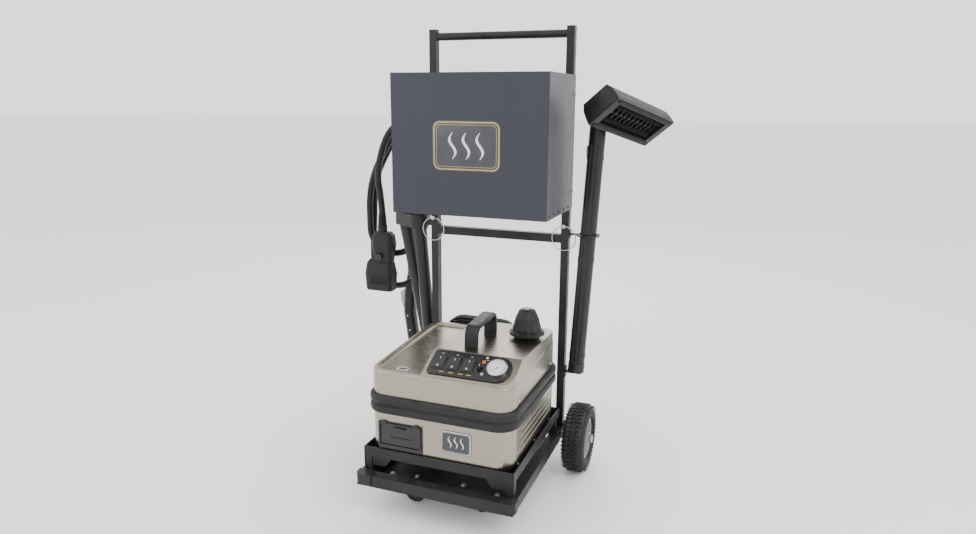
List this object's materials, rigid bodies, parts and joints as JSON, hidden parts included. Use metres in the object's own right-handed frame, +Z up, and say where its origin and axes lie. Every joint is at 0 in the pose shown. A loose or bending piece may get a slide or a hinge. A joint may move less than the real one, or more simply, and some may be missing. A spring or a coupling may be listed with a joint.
{
  "type": "commercial steam cleaner on a cart",
  "caption": "Steel boiler steam cleaner standing in a wheeled cart with a tool bin, wand and floor tool, spare tubes and a looped steam hose.",
  "frame": {"origin": "middle of the footprint, on the floor", "axes": "+Z up, front of the cart towards -Y, right-hand side towards +X"},
  "size_m": [1.0102, 0.6996, 1.273],
  "materials": {
    "frame": "black powder coat",
    "bin": "dark slate enamel",
    "stainless": "polished stainless sheet",
    "zinc": "zinc plated",
    "black_plastic": "moulded black",
    "tube_plastic": "moulded black, slight sheen",
    "grey_plastic": "moulded light grey",
    "rubber": "black rubber",
    "tyre": "block tread",
    "rim": "grey enamel",
    "lamp": "red lens",
    "chrome": "plated",
    "glass": "clear"
  },
  "bodies": {
    "cart": {"post_left": "frame", "post_right": "frame", "handle_bar": "frame", "mid_crossbar": "frame", "base_rail_left": "frame", "base_rail_right": "frame", "base_front_bar": "frame", "base_rear_bar": "frame", "deck_plate": "frame", "tray_frame": "frame", "wand_ring": "frame", "wand_peg": "frame", "left_rack": "frame", "tool_bin": "bin", "axle": "zinc", "boiler": "zinc", "bumper_belt": "rubber", "steam_hose": "rubber", "power_cord": "rubber", "cord_hank": "rubber", "lower_shell": "stainless", "upper_shell": "stainless", "control_panel": "black_plastic", "carry_handle": "black_plastic", "filler_collar": "black_plastic", "steam_socket": "black_plastic", "rear_cover": "black_plastic", "cord_gland": "black_plastic", "mains_plug": "black_plastic", "hose_plug": "black_plastic", "steam_gun": "black_plastic", "water_tank": "grey_plastic", "warning_lamp": "lamp", "gauge_case": "chrome", "gauge_glass": "glass"},
    "wheel_left": {"tyre_left": "tyre", "rim_left": "rim"},
    "wheel_right": {"tyre_right": "tyre", "rim_right": "rim"},
    "swivel_left": {"caster_fork_left": "zinc"},
    "swivel_right": {"caster_fork_right": "zinc"},
    "roller_left": {"caster_wheel_left": "rubber"},
    "roller_right": {"caster_wheel_right": "rubber"},
    "wand_set": {"wand": "tube_plastic", "tool_neck": "black_plastic"},
    "floor_head": {"floor_tool": "black_plastic"},
    "spare_a": {"spare_tube_a": "tube_plastic"},
    "spare_b": {"spare_tube_b": "tube_plastic"},
    "pin_left": {"lock_pin_left": "zinc"},
    "pin_right": {"lock_pin_right": "zinc"},
    "ring_left": {"pin_ring_left": "zinc"},
    "ring_right": {"pin_ring_right": "zinc"},
    "rocker_1": {"rocker_switch_1": "black_plastic"},
    "rocker_2": {"rocker_switch_2": "black_plastic"},
    "rocker_3": {"rocker_switch_3": "black_plastic"},
    "selector": {"control_knob": "black_plastic"},
    "needle": {"gauge_needle": "black_plastic"},
    "cap": {"filler_cap": "black_plastic"},
    "flap": {"socket_flap": "black_plastic"},
    "trigger": {"gun_trigger": "grey_plastic"}
  },
  "joints": [
    {"name": "wheel_spin_left", "type": "hinge", "parent": "cart", "child": "wheel_left", "pos_m": [-0.29556, 0.1088, 0.101], "axis": [1, 0, 0], "continuous": true},
    {"name": "caster_turn_left", "type": "hinge", "parent": "cart", "child": "swivel_left", "pos_m": [-0.09976, -0.2322, 0.078], "axis": [0, 0, 1], "continuous": true},
    {"name": "caster_roll_left", "type": "hinge", "parent": "swivel_left", "child": "roller_left", "pos_m": [-0.12576, -0.2322, 0.03], "axis": [0, -1, 0], "continuous": true},
    {"name": "pin_pull_left", "type": "slide", "parent": "cart", "child": "pin_left", "axis": [0, -1, 0], "range_m": [0, 0.045]},
    {"name": "pin_ring_swing_left", "type": "hinge", "parent": "pin_left", "child": "ring_left", "pos_m": [-0.22826, 0.1193, 0.7295], "axis": [1, 0, 0], "range_deg": [-90, 0]},
    {"name": "wheel_spin_right", "type": "hinge", "parent": "cart", "child": "wheel_right", "pos_m": [0.24604, 0.1088, 0.101], "axis": [1, 0, 0], "continuous": true},
    {"name": "caster_turn_right", "type": "hinge", "parent": "cart", "child": "swivel_right", "pos_m": [0.05024, -0.2322, 0.078], "axis": [0, 0, 1], "continuous": true},
    {"name": "caster_roll_right", "type": "hinge", "parent": "swivel_right", "child": "roller_right", "pos_m": [0.06695, -0.21228, 0.03], "axis": [-0.766, 0.6428, 0], "continuous": true},
    {"name": "pin_pull_right", "type": "slide", "parent": "cart", "child": "pin_right", "axis": [0, -1, 0], "range_m": [0, 0.045]},
    {"name": "pin_ring_swing_right", "type": "hinge", "parent": "pin_right", "child": "ring_right", "pos_m": [0.17874, 0.1193, 0.7295], "axis": [1, 0, 0], "range_deg": [-90, 0]},
    {"name": "wand_lift", "type": "slide", "parent": "cart", "child": "wand_set", "axis": [0.0537, 0, 0.9986], "range_m": [0, 0.3]},
    {"name": "tool_tip", "type": "hinge", "parent": "wand_set", "child": "floor_head", "pos_m": [0.31999, 0.13754, 1.07534], "axis": [0.3925, 0.8901, -0.2315], "range_deg": [-60, 0]},
    {"name": "spare_lift_a", "type": "slide", "parent": "cart", "child": "spare_a", "axis": [-0.1908, 0, 0.9816], "range_m": [0, 0.15]},
    {"name": "spare_lift_b", "type": "slide", "parent": "cart", "child": "spare_b", "axis": [-0.0836, 0, 0.9965], "range_m": [0, 0.15]},
    {"name": "rocker_tip_1", "type": "hinge", "parent": "cart", "child": "rocker_1", "pos_m": [-0.03716, -0.26454, 0.42837], "axis": [1, 0, 0], "range_deg": [-6, 0]},
    {"name": "rocker_tip_2", "type": "hinge", "parent": "cart", "child": "rocker_2", "pos_m": [0.00244, -0.26454, 0.42837], "axis": [1, 0, 0], "range_deg": [-6, 0]},
    {"name": "rocker_tip_3", "type": "hinge", "parent": "cart", "child": "rocker_3", "pos_m": [0.04204, -0.26454, 0.42837], "axis": [1, 0, 0], "range_deg": [-6, 0]},
    {"name": "selector_turn", "type": "hinge", "parent": "cart", "child": "selector", "pos_m": [0.07374, -0.26653, 0.42678], "axis": [0, -0.4602, 0.8878], "range_deg": [-135, 135]},
    {"name": "needle_swing", "type": "hinge", "parent": "cart", "child": "needle", "pos_m": [0.11834, -0.26291, 0.43282], "axis": [0, -0.4602, 0.8878], "range_deg": [-270, 0], "stiffness_Nm_per_rad": 0.0005},
    {"name": "cap_turn", "type": "hinge", "parent": "cart", "child": "cap", "pos_m": [0.11924, -0.0242, 0.45], "axis": [0, 0, 1], "range_deg": [0, 360]},
    {"name": "flap_drop", "type": "hinge", "parent": "cart", "child": "flap", "pos_m": [-0.12876, -0.3111, 0.188], "axis": [1, 0, 0], "range_deg": [0, 88]},
    {"name": "trigger_squeeze", "type": "hinge", "parent": "cart", "child": "trigger", "pos_m": [-0.42276, 0.3318, 0.442], "axis": [0, 1, 0], "range_deg": [-8, 0], "stiffness_Nm_per_rad": 0.5}
  ]
}
